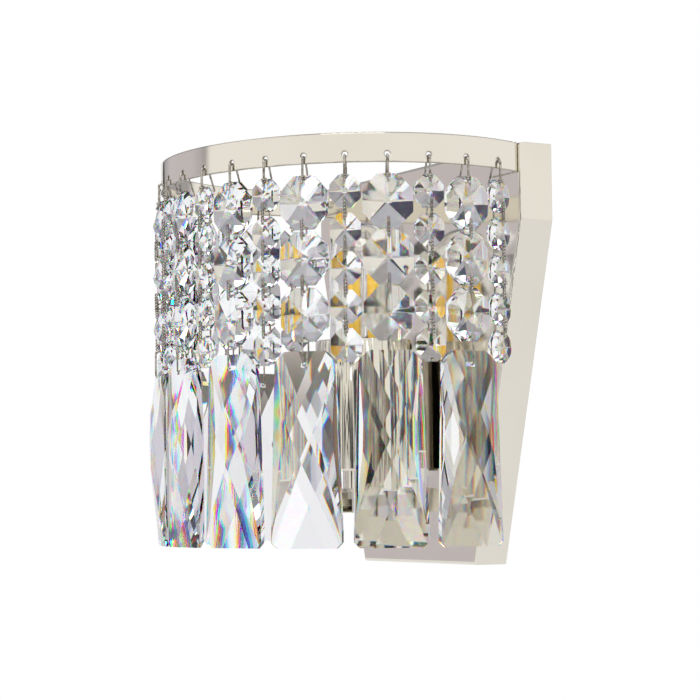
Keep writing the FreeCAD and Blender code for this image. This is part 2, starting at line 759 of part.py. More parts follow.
class GroundFace:
    """One face of a pendant: flat facets between two sets of crossing slanted edges.

    Every crossing lies on the pendant's middle line, where the profile bends. From it one edge
    runs down to the right and one down to the left, and the face falls away beyond each.
    """

    def __init__(self, profile, slope):
        self.slope = slope
        self.crossings = [level for level, _ in profile[1:-1]]
        grades = [(low - high) / (under - over) for (over, high), (under, low) in zip(profile, profile[1:])]
        self.bends = [(upper - lower) / -4 for upper, lower in zip(grades, grades[1:])]
        self.tilt = (grades[0] + grades[-1]) / 2
        level, depth = profile[1]
        self.base = 0.0
        self.base = depth - self.depth_at(0.0, level)

    def edges_beyond(self, across, level):
        """Give each crossing's bend and a point's signed distance past its two edges."""
        rise = self.slope * across
        for crossing, bend in zip(self.crossings, self.bends):
            yield bend, rise + level - crossing, -rise + level - crossing

    def depth_at(self, across, level):
        """Give the half thickness of the face at a point."""
        fall = 0.0
        for bend, right, left in self.edges_beyond(across, level):
            fall += bend * (abs(right) + abs(left))
        return self.base + self.tilt * level - fall

    def planes(self):
        """Give the depth at the middle and the slopes of every facet's plane."""
        count = len(self.crossings)
        for right_index in range(count + 1):
            for left_index in range(count + 1):
                depth, grade_x, grade_z = self.base, 0.0, self.tilt
                for index, (crossing, bend) in enumerate(zip(self.crossings, self.bends)):
                    right_sign = 1 if index >= right_index else -1
                    left_sign = 1 if index >= left_index else -1
                    depth += bend * crossing * (right_sign + left_sign)
                    grade_x -= bend * self.slope * (right_sign - left_sign)
                    grade_z -= bend * (right_sign + left_sign)
                yield depth, grade_x, grade_z


def grind(solid, planes, side, reach):
    """Cut away what lies beyond each facet's plane, in front (-1) or behind (1)."""
    for depth, grade_x, grade_z in planes:
        block = Part.makeBox(2 * reach, 2 * reach, reach, Vector(-reach, -reach, 0))
        normal = Vector(-grade_x, 1, -grade_z)
        block.Placement = Placement(Vector(0, depth, 0), Rotation(Vector(0, 0, 1), normal))
        if side < 0:
            block = block.mirror(Vector(), Vector(0, 1, 0))
        solid = solid.cut(block)
    return solid


def side_bevels(head_corner, foot_corner):
    """Give the planes of the long bevels that thin a pendant towards its two sides."""
    slope = float(size.pendant_bevel_slope)
    lean = (head_corner.x - foot_corner.x) / (head_corner.z - foot_corner.z)
    depth = float(size.pendant_rim) / 2 + slope * (foot_corner.x - lean * foot_corner.z)
    return [(depth, -side * slope, slope * lean) for side in (-1, 1)]


def pendant():
    """Grind a tall pendant: a tapered slab, with large facets in front and lozenges behind."""
    height = float(size.pendant_height)
    top = float(size.pendant_top_width) / 2
    foot = float(size.pendant_foot_width) / 2
    half_thick = float(size.pendant_thickness) / 2
    top_cut = float(size.pendant_top_cut)
    foot_cut = float(size.pendant_foot_cut)
    right = [
        Vector(top - top_cut, 0, 0), Vector(top, 0, -top_cut),
        Vector(foot, 0, foot_cut - height), Vector(foot - foot_cut, 0, -height),
    ]
    corners = right + [Vector(-corner.x, 0, corner.z) for corner in reversed(right)]
    blank = Part.Face(Part.makePolygon(corners + corners[:1]))
    blank.translate(Vector(0, -half_thick, 0))
    solid = blank.extrude(Vector(0, 2 * half_thick, 0))
    head = (0.0, float(size.pendant_head_thickness) / 2)
    rim = (-height, float(size.pendant_rim) / 2)
    front = [
        head, (-float(size.pendant_front_upper), half_thick),
        (-float(size.pendant_front_lower), half_thick), rim,
    ]
    back = [
        head, (-float(size.pendant_back_upper), float(size.pendant_back_upper_thickness)),
        (-float(size.pendant_back_crest), half_thick),
        (-float(size.pendant_back_lower), float(size.pendant_back_lower_thickness)), rim,
    ]
    slope = float(size.pendant_lozenge_slope)
    bevels = side_bevels(right[1], right[2])
    solid = grind(solid, bevels + list(GroundFace(front, slope).planes()), -1, 2 * height)
    solid = grind(solid, bevels + list(GroundFace(back, slope).planes()), 1, 2 * height)
    hole_level = -float(size.pendant_hole_inset)
    return solid.cut(needle_hole(float(size.pendant_hole_radius), 2 * half_thick, hole_level))


def wire_loop(corners):
    """Bend a closed loop of wire through (out, up) corners, in the plane across the band."""
    half_wire = float(size.wire_size) / 2
    spots = [Vector(-half_wire, -out, up) for out, up in corners]
    middle = Part.makePolygon(spots + spots[:1])
    outer = middle.makeOffset2D(half_wire, join=2)
    inner = middle.makeOffset2D(-half_wire, join=2)
    if outer.Length < inner.Length:
        outer, inner = inner, outer
    run = Vector(2 * half_wire, 0, 0)
    return Part.Face(outer).extrude(run).cut(Part.Face(inner).extrude(run))


def link(upper, lower, half_width):
    """Make a flat link between two needle holes at given levels."""
    return wire_loop([(half_width, upper), (half_width, lower), (-half_width, lower), (-half_width, upper)])


class StrandLevels:
    """Heights down a strand, from its pivot, worked out from hole to hole."""

    def __init__(self):
        self.first_hole = -float(size.hook_drop)
        large_reach = float(size.large_height) / 2 - float(size.large_hole_inset)
        small_reach = float(size.small_height) / 2 - float(size.small_hole_inset)
        large_step = 2 * large_reach + float(size.large_link)
        self.large = self.run(int(float(size.large_count)), large_reach, large_step)
        self.large_reach = large_reach
        self.large_foot_hole = self.large[-1] - large_reach
        self.pendant_hole = self.large_foot_hole - float(size.pendant_link)
        self.pendant_top = self.pendant_hole + float(size.pendant_hole_inset)
        small_last = self.pendant_top - float(size.small_tail_below) + float(size.small_height) / 2
        small_count = int(float(size.small_count))
        small_step = (self.first_hole - small_reach - small_last) / (small_count - 1)
        self.small = self.run(small_count, small_reach, small_step)
        self.small_reach = small_reach

    def run(self, count, reach, step):
        """List the middles of a run of crystals below the hook."""
        return [self.first_hole - reach - index * step for index in range(count)]


def hook_loop():
    """Make the hook: upright outside the band, slanted inside, its foot through a crystal."""
    reach = float(size.hook_reach)
    foot = -float(size.hook_drop)
    return wire_loop([(reach, 0.0), (reach, foot), (-float(size.hook_spread), foot), (-reach, 0.0)])


def raised(shape, level):
    """Copy a shape up or down a strand."""
    return shape.translated(Vector(0, 0, level))


def links_between(middles, reach):
    """Link each crystal of a run to the next."""
    half_width = float(size.link_half_width)
    return [link(upper - reach, lower + reach, half_width) for upper, lower in zip(middles, middles[1:])]


levels = StrandLevels()
small_bead = octagon_bead(
    float(size.small_width), float(size.small_height), float(size.small_thickness), float(size.small_rim),
    levels.small_reach,
)
large_bead = octagon_bead(
    float(size.large_width), float(size.large_height), float(size.large_thickness), float(size.large_rim),
    levels.large_reach,
)
pendant_crystal = raised(pendant(), levels.pendant_top)
small_beads = [raised(small_bead, level) for level in levels.small]
large_beads = [raised(large_bead, level) for level in levels.large]
small_wires = [hook_loop()] + links_between(levels.small, levels.small_reach)
pendant_link = link(levels.large_foot_hole, levels.pendant_hole, float(size.pendant_link_half_width))
large_wires = [hook_loop()] + links_between(levels.large, levels.large_reach) + [pendant_link]

wire_drop = size.hook_hole_radius - size.wire_seat_gap - size.wire_size / 2
pivot_height = float(hook_hole_height - wire_drop)


def hang(label, shapes, spot, turn):
    """Hang copies of shapes at a hook hole, as one sub-part."""
    item = shaped(label, Part.makeCompound(shapes))
    item.Placement = Placement(Vector(spot.x, spot.y, pivot_height), Rotation(Vector(0, 0, 1), turn))


for number, (spot, turn) in enumerate(hooks, start=1):
    name = "strand_%02d" % number
    if number % 2:
        hang(name + "_octagons", small_beads, spot, turn)
        hang(name + "_clips", small_wires, spot, turn)
    else:
        hang(name + "_octagons", large_beads, spot, turn)
        hang(name + "_clips", large_wires, spot, turn)
        hang(name + "_pendant", [pendant_crystal], spot, turn)

# ---------------------------------------------------------------------------------------------
# Check every object, then write each sub-part
# ---------------------------------------------------------------------------------------------
doc.recompute()
for item in doc.Objects:
    if "Invalid" in item.State or "Error" in item.State:
        raise RuntimeError("%s is in state %s" % (item.Label, item.State))
os.makedirs("parts", exist_ok=True)
for item in sub_parts:
    if item.Shape.isNull() or not item.Shape.isValid():
        raise RuntimeError("%s has no valid shape" % item.Label)
    item.Shape.exportStep("parts/%s.step" % item.Label)
print("pendant hole %.3f below the hooks" % -levels.pendant_hole)
for number, (spot, turn) in enumerate(hooks, start=1):
    print("strand %02d at %.4f %.4f %.4f turned %.4f" % (number, spot.x, spot.y, pivot_height, turn))
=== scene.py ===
"""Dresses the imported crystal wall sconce: nickel plate, cut crystal, wire clips and a glass lamp.

Everything is in metres, in the part's own frame: X runs to the right of someone who faces the
wall, Y runs into the wall and Z runs up, with the origin on the wall behind the sconce.
"""

import json
import logging
import math
from collections.abc import Callable, Iterable, Mapping, Sequence
from dataclasses import dataclass, field
from enum import Enum
from typing import Any

import bmesh
import bpy
from mathutils import Matrix, Vector

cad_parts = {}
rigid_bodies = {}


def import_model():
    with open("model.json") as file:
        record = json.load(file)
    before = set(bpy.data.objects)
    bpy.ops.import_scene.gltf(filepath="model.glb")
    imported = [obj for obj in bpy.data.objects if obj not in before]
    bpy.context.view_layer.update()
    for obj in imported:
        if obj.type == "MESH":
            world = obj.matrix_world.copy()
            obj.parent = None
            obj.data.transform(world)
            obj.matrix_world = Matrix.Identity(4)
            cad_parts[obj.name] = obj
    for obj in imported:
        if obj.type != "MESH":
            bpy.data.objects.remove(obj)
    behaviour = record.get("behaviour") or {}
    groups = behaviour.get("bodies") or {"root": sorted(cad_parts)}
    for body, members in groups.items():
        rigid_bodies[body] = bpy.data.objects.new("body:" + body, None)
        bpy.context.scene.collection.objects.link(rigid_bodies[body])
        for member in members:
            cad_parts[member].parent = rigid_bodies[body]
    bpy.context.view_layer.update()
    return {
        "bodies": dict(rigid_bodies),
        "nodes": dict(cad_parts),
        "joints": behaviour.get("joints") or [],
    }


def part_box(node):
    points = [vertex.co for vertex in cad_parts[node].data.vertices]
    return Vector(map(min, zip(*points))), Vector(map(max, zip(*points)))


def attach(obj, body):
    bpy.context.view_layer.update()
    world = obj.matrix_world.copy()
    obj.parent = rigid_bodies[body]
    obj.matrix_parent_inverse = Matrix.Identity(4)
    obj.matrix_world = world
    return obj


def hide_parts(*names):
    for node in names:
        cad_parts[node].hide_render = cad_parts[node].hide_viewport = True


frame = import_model()

log = logging.getLogger("sconce")

MM = 0.001
IMAGE_SIDE = 700
BORE_DEPTH = 30 * MM
MERGE_DISTANCE = 1e-7
ALMOST_UPRIGHT = 89.9
SMOOTH_BELOW = math.radians(40)
Colour = tuple[float, float, float]
Number = "Shade | float"


# ----------------------------------------
# Shader trees
# ----------------------------------------
class MathKind(Enum):
    """Operations that the arithmetic on shades needs."""

    ADD = "ADD"
    SUBTRACT = "SUBTRACT"
    MULTIPLY = "MULTIPLY"


class Shade:
    """A value in a shader tree, whose arithmetic adds the nodes for it."""

    def __init__(self, tree: "ShaderTree", socket: bpy.types.NodeSocket) -> None:
        """Wrap an output socket of a tree."""
        self.tree = tree
        self.socket = socket

    def combine(self, kind: MathKind, left: Number, right: Number) -> "Shade":
        """Join two values with a math node.

        Args:
            kind: The operation.
            left: The first value.
            right: The second value.

        Returns:
            The result.
        """
        return self.tree.add("ShaderNodeMath", {"operation": kind.value}, {0: left, 1: right})

    def __add__(self, other: Number) -> "Shade":
        """Return the sum."""
        return self.combine(MathKind.ADD, self, other)

    def __radd__(self, other: Number) -> "Shade":
        """Return the sum, with this value on the right."""
        return self.combine(MathKind.ADD, other, self)

    def __sub__(self, other: Number) -> "Shade":
        """Return the difference."""
        return self.combine(MathKind.SUBTRACT, self, other)

    def __rsub__(self, other: Number) -> "Shade":
        """Return the difference, with this value on the right."""
        return self.combine(MathKind.SUBTRACT, other, self)

    def __mul__(self, other: Number) -> "Shade":
        """Return the product."""
        return self.combine(MathKind.MULTIPLY, self, other)

    def __rmul__(self, other: Number) -> "Shade":
        """Return the product, with this value on the right."""
        return self.combine(MathKind.MULTIPLY, other, self)


class ShaderTree:
    """A material's or the world's node tree, emptied and built up again."""

    def __init__(self, nodes_of: bpy.types.NodeTree) -> None:
        """Clear a node tree and hold it."""
        self.tree = nodes_of
        self.tree.nodes.clear()

    def add(
        self,
        kind: str,
        settings: Mapping[str, Any] | None = None,
        inputs: Mapping[str | int, Any] | None = None,
        output: str | int = 0,
    ) -> Shade:
        """Add a node, set it, and link or fill its inputs.

        Args:
            kind: The node's type.
            settings: Properties of the node.
            inputs: Sockets by name or number, each with a shade to link or a value to set.
            output: The output that the returned shade stands for.

        Returns:
            The chosen output.
        """
        node = self.tree.nodes.new(kind)
        for name, value in (settings or {}).items():
            setattr(node, name, value)
        for name, value in (inputs or {}).items():
            if isinstance(value, Shade):
                self.tree.links.new(value.socket, node.inputs[name])
            else:
                node.inputs[name].default_value = value
        return Shade(self, node.outputs[output] if node.outputs else None)

    def blend(self, factor: Number, first: "Shade | Colour", second: "Shade | Colour") -> Shade:
        """Mix two colours by a factor.

        Args:
            factor: How much of the second colour shows, from 0 to 1.
            first: The first colour.
            second: The second colour.

        Returns:
            The mixed colour.
        """
        sides = [side if isinstance(side, Shade) else (*side, 1.0) for side in (first, second)]
        settings = {"data_type": "RGBA", "clamp_factor": True}
        return self.add("ShaderNodeMix", settings, {0: factor, 6: sides[0], 7: sides[1]}, 2)

    def dot(self, first: "Shade | Colour", second: "Shade | Colour") -> Shade:
        """Take the dot product of two directions."""
        settings = {"operation": "DOT_PRODUCT"}
        return self.add("ShaderNodeVectorMath", settings, {0: first, 1: second}, "Value")

    def ramp(self, value: Shade, low: float, high: float) -> Shade:
        """Run a value smoothly from 0 at low to 1 at high."""
        settings = {"interpolation_type": "SMOOTHSTEP"}
        return self.add("ShaderNodeMapRange", settings, {0: value, 1: low, 2: high})

    def noise(self, scale: float, detail: float, stretch: Colour = (1.0, 1.0, 1.0)) -> Shade:
        """Add noise fixed to the piece's own space.

        Args:
            scale: Cells per metre, about.
            detail: Octaves of finer noise.
            stretch: Scale along each axis.

        Returns:
            The noise, around one half.
        """
        place = self.add("ShaderNodeTexCoord", {}, {}, "Object")
        stretched = self.add("ShaderNodeMapping", {}, {"Vector": place, "Scale": stretch})
        inputs = {"Vector": stretched, "Scale": scale, "Detail": detail}
        return self.add("ShaderNodeTexNoise", {}, inputs, "Fac")

    def finish(self, surface: Shade, kind: str = "ShaderNodeOutputMaterial") -> None:
        """Send a shader to the tree's output."""
        self.add(kind, {}, {"Surface": surface})


# ----------------------------------------
# Finishes
# ----------------------------------------
@dataclass(frozen=True)
class Finish:
    """A named finish with the colour that it has all over."""

    name: str
    colour: Colour

    def material(self) -> bpy.types.Material:
        """Make the finish's material.

        Returns:
            The material.
        """
        made = bpy.data.materials.new(self.name)
        made.use_nodes = True
        tree = ShaderTree(made.node_tree)
        tree.finish(self.surface(tree))
        return made

    def surface(self, tree: ShaderTree) -> Shade:
        """Build the shader in a tree.

        Args:
            tree: The material's tree.

        Returns:
            The shader.
        """
        raise NotImplementedError


@dataclass(frozen=True)
class PolishedMetal(Finish):
    """Plated metal, buffed bright: faint haze, fine buffing marks, patches of tarnish and painted shade,
    and softly rounded edges with painted shade along them.
    """

    roughness: float = 0.05
    haze: float = 0.05
    marks: float = 0.00001
    edge_radius: float = 0.0003
    # Colour of the cloudy patches: tarnish, and on the fine wire painted shade.
    tarnish_and_shade: Colour = (0.66, 0.61, 0.52)
    # Painted shade: the colour that rounded edges darken to, standing in for dark surroundings seen in
    # them.
    edge: Colour = (0.60, 0.56, 0.48)
    patches: float = 28.0
    tarnish_and_shade_share: float = 0.35
    tarnish_and_shade_levels: tuple[float, float] = (0.35, 0.85)
    haze_levels: tuple[float, float] = (0.45, 0.8)
    painted_edge_shade_levels: tuple[float, float] = (0.02, 0.16)
    buffing_scale: float = 900.0
    buffing_stretch: Colour = (1.0, 1.0, 0.06)

    def surface(self, tree: ShaderTree) -> Shade:
        """Build the shader in a tree.

        Args:
            tree: The material's tree.

        Returns:
            The shader.
        """
        clouds = tree.noise(self.patches, 3.0)
        buffing = tree.noise(self.buffing_scale, 2.0, self.buffing_stretch)
        # Cloudy patches: tarnish on the plate and fittings, painted shade on the fine wire.
        tarnish_and_shade_mask = tree.ramp(clouds, *self.tarnish_and_shade_levels) * self.tarnish_and_shade_share
        colour = tree.blend(tarnish_and_shade_mask, self.colour, self.tarnish_and_shade)
        roughness = self.roughness + tree.ramp(clouds, *self.haze_levels) * self.haze + buffing * 0.02
        rounded = tree.add("ShaderNodeBevel", {"samples": 4}, {"Radius": self.edge_radius})
        flat = tree.add("ShaderNodeNewGeometry", {}, {}, "Normal")
        bend = 1.0 - tree.dot(rounded, flat)
        # Painted shade: the colour runs to the edge colour where the rounded normal leans away from the
        # flat one.
        colour = tree.blend(tree.ramp(bend, *self.painted_edge_shade_levels), colour, self.edge)
        relief = {"Height": buffing, "Strength": 0.25, "Distance": self.marks, "Normal": rounded}
        return tree.add("ShaderNodeBsdfPrincipled", {}, {
            "Base Color": colour,
            "Roughness": roughness,
            "Metallic": 1.0,
            "Normal": tree.add("ShaderNodeBump", {}, relief),
        })


@dataclass(frozen=True)
class CutCrystal(Finish):
    """Ground and polished lead crystal, which splits white light a little where it enters."""

    ior: float = 1.545
    spread: float = 0.004

    def surface(self, tree: ShaderTree) -> Shade:
        """Build the shader in a tree.

        Args:
            tree: The material's tree.

        Returns:
            The shader.
        """
        plain = self.glass(tree, self.colour, self.ior)
        bands = (((1.0, 0.0, 0.0), -1.0), ((0.0, 1.0, 0.0), 0.0), ((0.0, 0.0, 1.0), 1.0))
        split = None
        for count, (share, side) in enumerate(bands, 1):
            tint = tuple(len(bands) * part * whole for part, whole in zip(share, self.colour))
            one = self.glass(tree, tint, self.ior + side * self.spread)
            if split is None:
                split = one
            else:
                split = tree.add("ShaderNodeMixShader", {}, {0: 1 / count, 1: split, 2: one})
        first_hit = tree.add("ShaderNodeLightPath", {}, {}, "Is Camera Ray")
        return tree.add("ShaderNodeMixShader", {}, {0: first_hit, 1: plain, 2: split})

    def glass(self, tree: ShaderTree, tint: Colour, ior: float) -> Shade:
        """Add clear glass of one tint and one index."""
        return tree.add("ShaderNodeBsdfGlass", {}, {"Color": (*tint, 1.0), "Roughness": 0.0, "IOR": ior})


@dataclass(frozen=True)
class ClearGlass(Finish):
    """Blown lamp glass with faint waves."""

    ior: float = 1.47

    def surface(self, tree: ShaderTree) -> Shade:
        """Build the shader in a tree.

        Args:
            tree: The material's tree.

        Returns:
            The shader.
        """
        waves = tree.noise(60.0, 1.0, (1.0, 1.0, 0.3))
        relief = {"Height": waves, "Strength": 0.2, "Distance": 0.0001}
        return tree.add("ShaderNodeBsdfPrincipled", {}, {
            "Base Color": (*self.colour, 1.0),
            "Roughness": 0.0,
            "IOR": self.ior,
            "Transmission Weight": 1.0,
            "Normal": tree.add("ShaderNodeBump", {}, relief),
        })


@dataclass(frozen=True)
class PhosphorCoat(Finish):
    """Yellow phosphor in soft resin, with paler spots where the chips lie under it."""

    pale: Colour = (1.0, 0.74, 0.12)
    glow: Colour = (1.0, 0.60, 0.04)
    glow_strength: float = 0.4

    def surface(self, tree: ShaderTree) -> Shade:
        """Build the shader in a tree.

        Args:
            tree: The material's tree.

        Returns:
            The shader.
        """
        grain = tree.noise(2600.0, 2.0)
        chips = tree.noise(420.0, 0.0, (0.05, 0.05, 1.0))
        colour = tree.blend(tree.ramp(chips, 0.5, 0.7), self.colour, self.pale)
        relief = {"Height": grain, "Strength": 0.2, "Distance": 0.00005}
        return tree.add("ShaderNodeBsdfPrincipled", {}, {
            "Base Color": colour,
            "Roughness": 0.3 + grain * 0.2,
            "Emission Color": (*self.glow, 1.0),
            "Emission Strength": self.glow_strength,
            "Normal": tree.add("ShaderNodeBump", {}, relief),
        })


@dataclass(frozen=True)
class GlazedPorcelain(Finish):
    """White porcelain under a clear glaze that pools unevenly."""

    shade: Colour = (0.78, 0.75, 0.68)

    def surface(self, tree: ShaderTree) -> Shade:
        """Build the shader in a tree.

        Args:
            tree: The material's tree.

        Returns:
            The shader.
        """
        clouds = tree.noise(90.0, 4.0)
        rounded = tree.add("ShaderNodeBevel", {"samples": 4}, {"Radius": 0.0006})
        relief = {"Height": clouds, "Strength": 0.15, "Distance": 0.0002, "Normal": rounded}
        return tree.add("ShaderNodeBsdfPrincipled", {}, {
            "Base Color": tree.blend(clouds * 0.5, self.colour, self.shade),
            "Roughness": 0.12 + clouds * 0.1,
            "Coat Weight": 0.6,
            "Coat Roughness": 0.05,
            "Normal": tree.add("ShaderNodeBump", {}, relief),
        })


BRIGHT = (0.78, 0.745, 0.665)
TARNISHED = (0.70, 0.66, 0.57)
CLEAR = (0.98, 0.985, 0.99)

# The band's edges are painted near black: painted shade for the dark surroundings seen in them.
BAND_NICKEL = PolishedMetal(
    "band_nickel_with_painted_edge_shade", BRIGHT, edge_radius=0.0009, tarnish_and_shade=TARNISHED, edge=(0.11, 0.085, 0.05)
)
NICKEL = PolishedMetal("polished_nickel_plate", BRIGHT, tarnish_and_shade=TARNISHED)
# Painted shade: near-black patches at a fine scale stand in for the dark edges of twisted wire.
WIRE = PolishedMetal(
    "bright_nickel_wire", (0.50, 0.47, 0.42), roughness=0.14, haze=0.1, marks=0.00002,
    edge_radius=0.0, tarnish_and_shade=(0.03, 0.02, 0.015), patches=620.0, tarnish_and_shade_share=1.0,
)
STEEL = PolishedMetal(
    "zinc_plated_steel", (0.62, 0.61, 0.58), roughness=0.28, haze=0.12, marks=0.00003,
    tarnish_and_shade=(0.50, 0.49, 0.46),
)
CAP = PolishedMetal(
    "lamp_cap_aluminium", (0.72, 0.71, 0.69), roughness=0.22, haze=0.1, marks=0.00002,
    edge_radius=0.0002, tarnish_and_shade=(0.60, 0.58, 0.55),
)
CRYSTAL = CutCrystal("cut_crystal", CLEAR)
PENDANT_CRYSTAL = CutCrystal("pendant_crystal", CLEAR, spread=0.013)
LAMP_GLASS = ClearGlass("lamp_glass", (0.99, 0.99, 0.985))
PHOSPHOR = PhosphorCoat("filament_phosphor", (0.95, 0.60, 0.02))
PORCELAIN = GlazedPorcelain("glazed_porcelain", (0.88, 0.87, 0.83))


class Wardrobe:
    """The materials made so far, one for each finish."""

    def __init__(self) -> None:
        """Start with no materials."""
        self.made: dict[str, bpy.types.Material] = {}

    def of(self, finish: Finish) -> bpy.types.Material:
        """Make a finish's material the first time, and give it out after that.

        Args:
            finish: The finish.

        Returns:
            Its material.
        """
        if finish.name not in self.made:
            self.made[finish.name] = finish.material()
        return self.made[finish.name]

    def dress(self, piece: bpy.types.Object, finish: Finish) -> None:
        """Give every slot of a piece one finish.

        Args:
            piece: The piece.
            finish: The finish.
        """
        if not piece.material_slots:
            piece.data.materials.append(self.of(finish))
        for slot in piece.material_slots:
            slot.material = self.of(finish)


# ----------------------------------------
# Meshes
# ----------------------------------------
class Blank:
    """A piece of crystal on the grinding wheel: facets are cut from it one by one."""

    def __init__(self, width: float, thickness: float, height: float) -> None:
        """Start from a block centred on the origin.

        Args:
            width: The size along X.
            thickness: The size along Y.
            height: The size along Z.
        """
        self.mesh = bmesh.new()
        bmesh.ops.create_cube(self.mesh, size=1.0)
        bmesh.ops.scale(self.mesh, vec=(width, thickness, height), verts=self.mesh.verts)

    def grind(self, spots: Sequence[Vector]) -> None:
        """Grind a facet through three points and take away the side without the middle.

        Args:
            spots: Three points of the facet's plane.
        """
        normal = (spots[1] - spots[0]).cross(spots[2] - spots[0]).normalized()
        if normal.dot(spots[0]) < 0:
            normal = -normal
        parts = self.mesh.verts[:] + self.mesh.edges[:] + self.mesh.faces[:]
        cut = bmesh.ops.bisect_plane(
            self.mesh, geom=parts, dist=MERGE_DISTANCE, plane_co=spots[0], plane_no=normal, clear_outer=True
        )
        rim = [part for part in cut["geom_cut"] if isinstance(part, bmesh.types.BMEdge)]
        if rim:
            bmesh.ops.edgenet_fill(self.mesh, edges=rim)

    def drill(self, holes: Iterable[tuple[float, float]], radius: float, sides: int) -> bpy.types.Mesh:
        """Bore holes along Y and return the finished mesh.

        Args:
            holes: The (x, z) place of each hole.
            radius: The radius of a hole.
            sides: The number of sides of a bore.

        Returns:
            The bored mesh.
        """
        bmesh.ops.recalc_face_normals(self.mesh, faces=self.mesh.faces)
        body = new_object("crystal_blank", self.mesh)
        bores = bmesh.new()
        for across, up in holes:
            turn = Matrix.Translation((across, 0, up)) @ Matrix.Rotation(math.pi / 2, 4, "X")
            bmesh.ops.create_cone(
                bores, cap_ends=True, segments=sides,
                radius1=radius, radius2=radius, depth=BORE_DEPTH, matrix=turn,
            )
        cutter = new_object("crystal_bores", bores)
        boring = body.modifiers.new("bores", "BOOLEAN")
        boring.operation = "DIFFERENCE"
        boring.solver = "EXACT"
        boring.object = cutter
        bored = body.evaluated_get(bpy.context.evaluated_depsgraph_get())
        drilled = bpy.data.meshes.new_from_object(bored)
        bpy.data.objects.remove(body)
        bpy.data.objects.remove(cutter)
        return drilled


def new_object(name: str, mesh: bmesh.types.BMesh) -> bpy.types.Object:
    """Turn a bmesh into an object in the scene.

    Args:
        name: The object's name.
        mesh: The bmesh, which is freed.

    Returns:
        The object.
    """
    data = bpy.data.meshes.new(name)
    mesh.to_mesh(data)
    mesh.free()
    return placed(name, data)


def placed(name: str, data: bpy.types.ID) -> bpy.types.Object:
    """Put a mesh, curve, light or camera into the scene as an object.

    Args:
        name: The object's name.
        data: What the object shows.

    Returns:
        The object.
    """
    made = bpy.data.objects.new(name, data)
    bpy.context.scene.collection.objects.link(made)
    return made


def lathe(
    name: str, profile: Sequence[tuple[float, float]], steps: int, centre: Vector
) -> bpy.types.Object:
    """Turn a closed profile about the vertical line through a point, shaded smooth.

    Args:
        name: The object's name.
        profile: (radius, height) points in order, closed by the last one.
        steps: Divisions of the full turn.
        centre: A point on the axis; its height is the profile's zero.

    Returns:
        The object.
    """
    mesh = bmesh.new()
    rings = []
    for turn in range(steps):
        angle = 2 * math.pi * turn / steps
        ring = []
        for radius, up in profile:
            spot = Vector((radius * math.cos(angle), radius * math.sin(angle), up))
            ring.append(mesh.verts.new(spot + centre))
        rings.append(ring)
    count = len(profile)
    for ring, following in zip(rings, rings[1:] + rings[:1]):
        for index in range(count):
            onward = (index + 1) % count
            mesh.faces.new((ring[index], following[index], following[onward], ring[onward]))
    bmesh.ops.remove_doubles(mesh, verts=mesh.verts, dist=MERGE_DISTANCE)
    bmesh.ops.recalc_face_normals(mesh, faces=mesh.faces)
    for face in mesh.faces:
        face.smooth = True
    for edge in mesh.edges:
        edge.smooth = len(edge.link_faces) == 2 and edge.calc_face_angle(0.0) < SMOOTH_BELOW
    return new_object(name, mesh)


def arc(
    centre: tuple[float, float], radius: float, start: float, end: float, steps: int
) -> list[tuple[float, float]]:
    """List points on an arc of a profile.

    Args:
        centre: The arc's centre, as (radius, height) of the profile.
        radius: The arc's radius.
        start: The first angle in degrees, from the radius axis.
        end: The last angle in degrees.
        steps: The number of chords.

    Returns:
        The points, both ends among them.
    """
    spots = []
    for step in range(steps + 1):
        angle = math.radians(start + (end - start) * step / steps)
        spots.append((centre[0] + radius * math.cos(angle), centre[1] + radius * math.sin(angle)))
    return spots


# ----------------------------------------
# Crystals and clips of the strands
# ----------------------------------------
@dataclass
class OctagonBead:
    """A flat octagon crystal with two holes, ground into eight kites on each side."""

    width: float
    height: float
    thickness: float
    rim: float
    hole_inset: float
    hole_radius: float = 0.75 * MM
    hole_sides: int = 12

    def outline(self, share: float, out: float) -> list[Vector]:
        """List a spot on each of the eight sides.

        Args:
            share: 0 for the middles of the sides, 1 for their corners.
            out: The spots' distance from the bead's middle plane.

        Returns:
            The eight spots.
        """
        spots = []
        for side in range(8):
            middle = math.pi / 4 * side
            along = share * math.tan(math.pi / 8)
            across = math.cos(middle) - along * math.sin(middle)
            up = math.sin(middle) + along * math.cos(middle)
            spots.append(Vector((across * self.width / 2, out, up * self.height / 2)))
        return spots

    def mesh(self) -> bpy.types.Mesh:
        """Grind the bead and drill its holes.

        Returns:
            The bead, centred on the origin.
        """
        blank = Blank(self.width, self.thickness, self.height)
        corners = self.outline(1.0, 0.0)
        lift = Vector((0, self.thickness, 0))
        for corner, following in zip(corners, corners[1:] + corners[:1]):
            blank.grind((corner, following, corner + lift))
        for face in (-1, 1):
            point = Vector((0, face * self.thickness / 2, 0))
            middles = self.outline(0.0, face * self.rim / 2)
            for middle, following in zip(middles, middles[1:] + middles[:1]):
                blank.grind((point, middle, following))
        reach = self.height / 2 - self.hole_inset
        return blank.drill(((0, reach), (0, -reach)), self.hole_radius, self.hole_sides)


